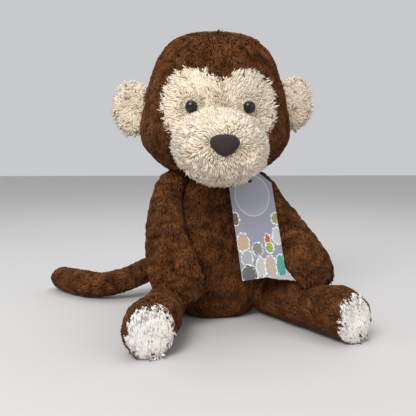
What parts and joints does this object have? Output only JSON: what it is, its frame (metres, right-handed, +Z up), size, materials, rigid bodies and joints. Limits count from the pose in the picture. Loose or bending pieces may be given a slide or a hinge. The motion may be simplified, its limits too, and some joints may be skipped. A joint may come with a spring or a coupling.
{
  "type": "stuffed monkey",
  "caption": "Seated plush monkey with a long-pile brown body, cream face, ears and soles, curled tail, movable head and limbs, and a swing tag on a cord loop.",
  "frame": {"origin": "middle of the flat seat, on the surface that the toy sits on", "axes": "+Z up, -Y the way the face looks, +X the toy's own left side"},
  "size_m": [0.3288, 0.2255, 0.2975],
  "materials": {
    "brown_pile": "matte",
    "cream_pile": "matte",
    "sole_pile": "matte",
    "fibre_fill": "matte",
    "pellet_bag": "matte",
    "nose_satin": "satin",
    "eye_plastic": "gloss",
    "washer_plastic": "matte",
    "label_tape": "satin",
    "tag_card": "matte",
    "loop_cord": "matte"
  },
  "bodies": {
    "torso": {"torso_front_panel": "brown_pile", "torso_back_panel": "brown_pile", "torso_stuffing": "fibre_fill", "bean_bag": "pellet_bag", "sewn_label": "label_tape"},
    "neck": {"neck_stuffing": "fibre_fill"},
    "head": {"head_left_panel": "brown_pile", "head_right_panel": "brown_pile", "face_panel": "cream_pile", "muzzle_panel": "cream_pile", "head_stuffing": "fibre_fill", "nose": "nose_satin", "right_eye": "eye_plastic", "left_eye": "eye_plastic", "right_eye_washer": "washer_plastic", "left_eye_washer": "washer_plastic"},
    "right_arm": {"right_arm_front_panel": "brown_pile", "right_arm_back_panel": "brown_pile", "right_arm_stuffing": "fibre_fill"},
    "right_leg": {"right_leg_inner_panel": "brown_pile", "right_leg_outer_panel": "brown_pile", "right_leg_stuffing": "fibre_fill", "right_sole": "sole_pile"},
    "right_ear": {"right_ear_front": "cream_pile", "right_ear_back": "cream_pile"},
    "left_arm": {"left_arm_front_panel": "brown_pile", "left_arm_back_panel": "brown_pile", "left_arm_stuffing": "fibre_fill"},
    "left_leg": {"left_leg_inner_panel": "brown_pile", "left_leg_outer_panel": "brown_pile", "left_leg_stuffing": "fibre_fill", "left_sole": "sole_pile"},
    "left_ear": {"left_ear_front": "cream_pile", "left_ear_back": "cream_pile"},
    "tail": {"tail_cover": "brown_pile", "tail_stuffing": "fibre_fill"},
    "tag": {"swing_tag": "tag_card", "tag_loop": "loop_cord"}
  },
  "joints": [
    {"name": "neck_tip", "type": "hinge", "parent": "torso", "child": "neck", "pos_m": [0, 0, 0.141], "axis": [-1, 0, 0], "range_deg": [0, 15]},
    {"name": "head_turn", "type": "hinge", "parent": "neck", "child": "head", "pos_m": [0, 0, 0.141], "axis": [0, 0, 1], "range_deg": [-20, 10]},
    {"name": "right_ear_fold", "type": "hinge", "parent": "head", "child": "right_ear", "pos_m": [-0.083, 0.008, 0.2165], "axis": [0, 0, 1], "range_deg": [-20, 10], "stiffness_Nm_per_rad": 0.02},
    {"name": "left_ear_fold", "type": "hinge", "parent": "head", "child": "left_ear", "pos_m": [0.083, 0.008, 0.224], "axis": [0, 0, 1], "range_deg": [-10, 20], "stiffness_Nm_per_rad": 0.02},
    {"name": "right_shoulder", "type": "hinge", "parent": "torso", "child": "right_arm", "pos_m": [-0.054, -0.008, 0.126], "axis": [-0.96, 0.28, 0], "range_deg": [0, 50]},
    {"name": "left_shoulder", "type": "hinge", "parent": "torso", "child": "left_arm", "pos_m": [0.052, -0.008, 0.126], "axis": [-0.6606, -0.7507, 0], "range_deg": [0, 70]},
    {"name": "right_hip", "type": "hinge", "parent": "torso", "child": "right_leg", "pos_m": [-0.047, -0.016, 0.0185], "axis": [0, 0, -1], "range_deg": [0, 30]},
    {"name": "left_hip", "type": "hinge", "parent": "torso", "child": "left_leg", "pos_m": [0.047, -0.016, 0.0185], "axis": [0, 0, 1], "range_deg": [-15, 25]},
    {"name": "tail_swing", "type": "hinge", "parent": "torso", "child": "tail", "pos_m": [-0.012, 0.052, 0.0365], "axis": [0, 0, -1], "range_deg": [0, 50]},
    {"name": "tag_lift", "type": "hinge", "parent": "torso", "child": "tag", "pos_m": [0.0195, -0.0237, 0.1348], "axis": [-1, 0, 0], "range_deg": [0, 12]}
  ]
}
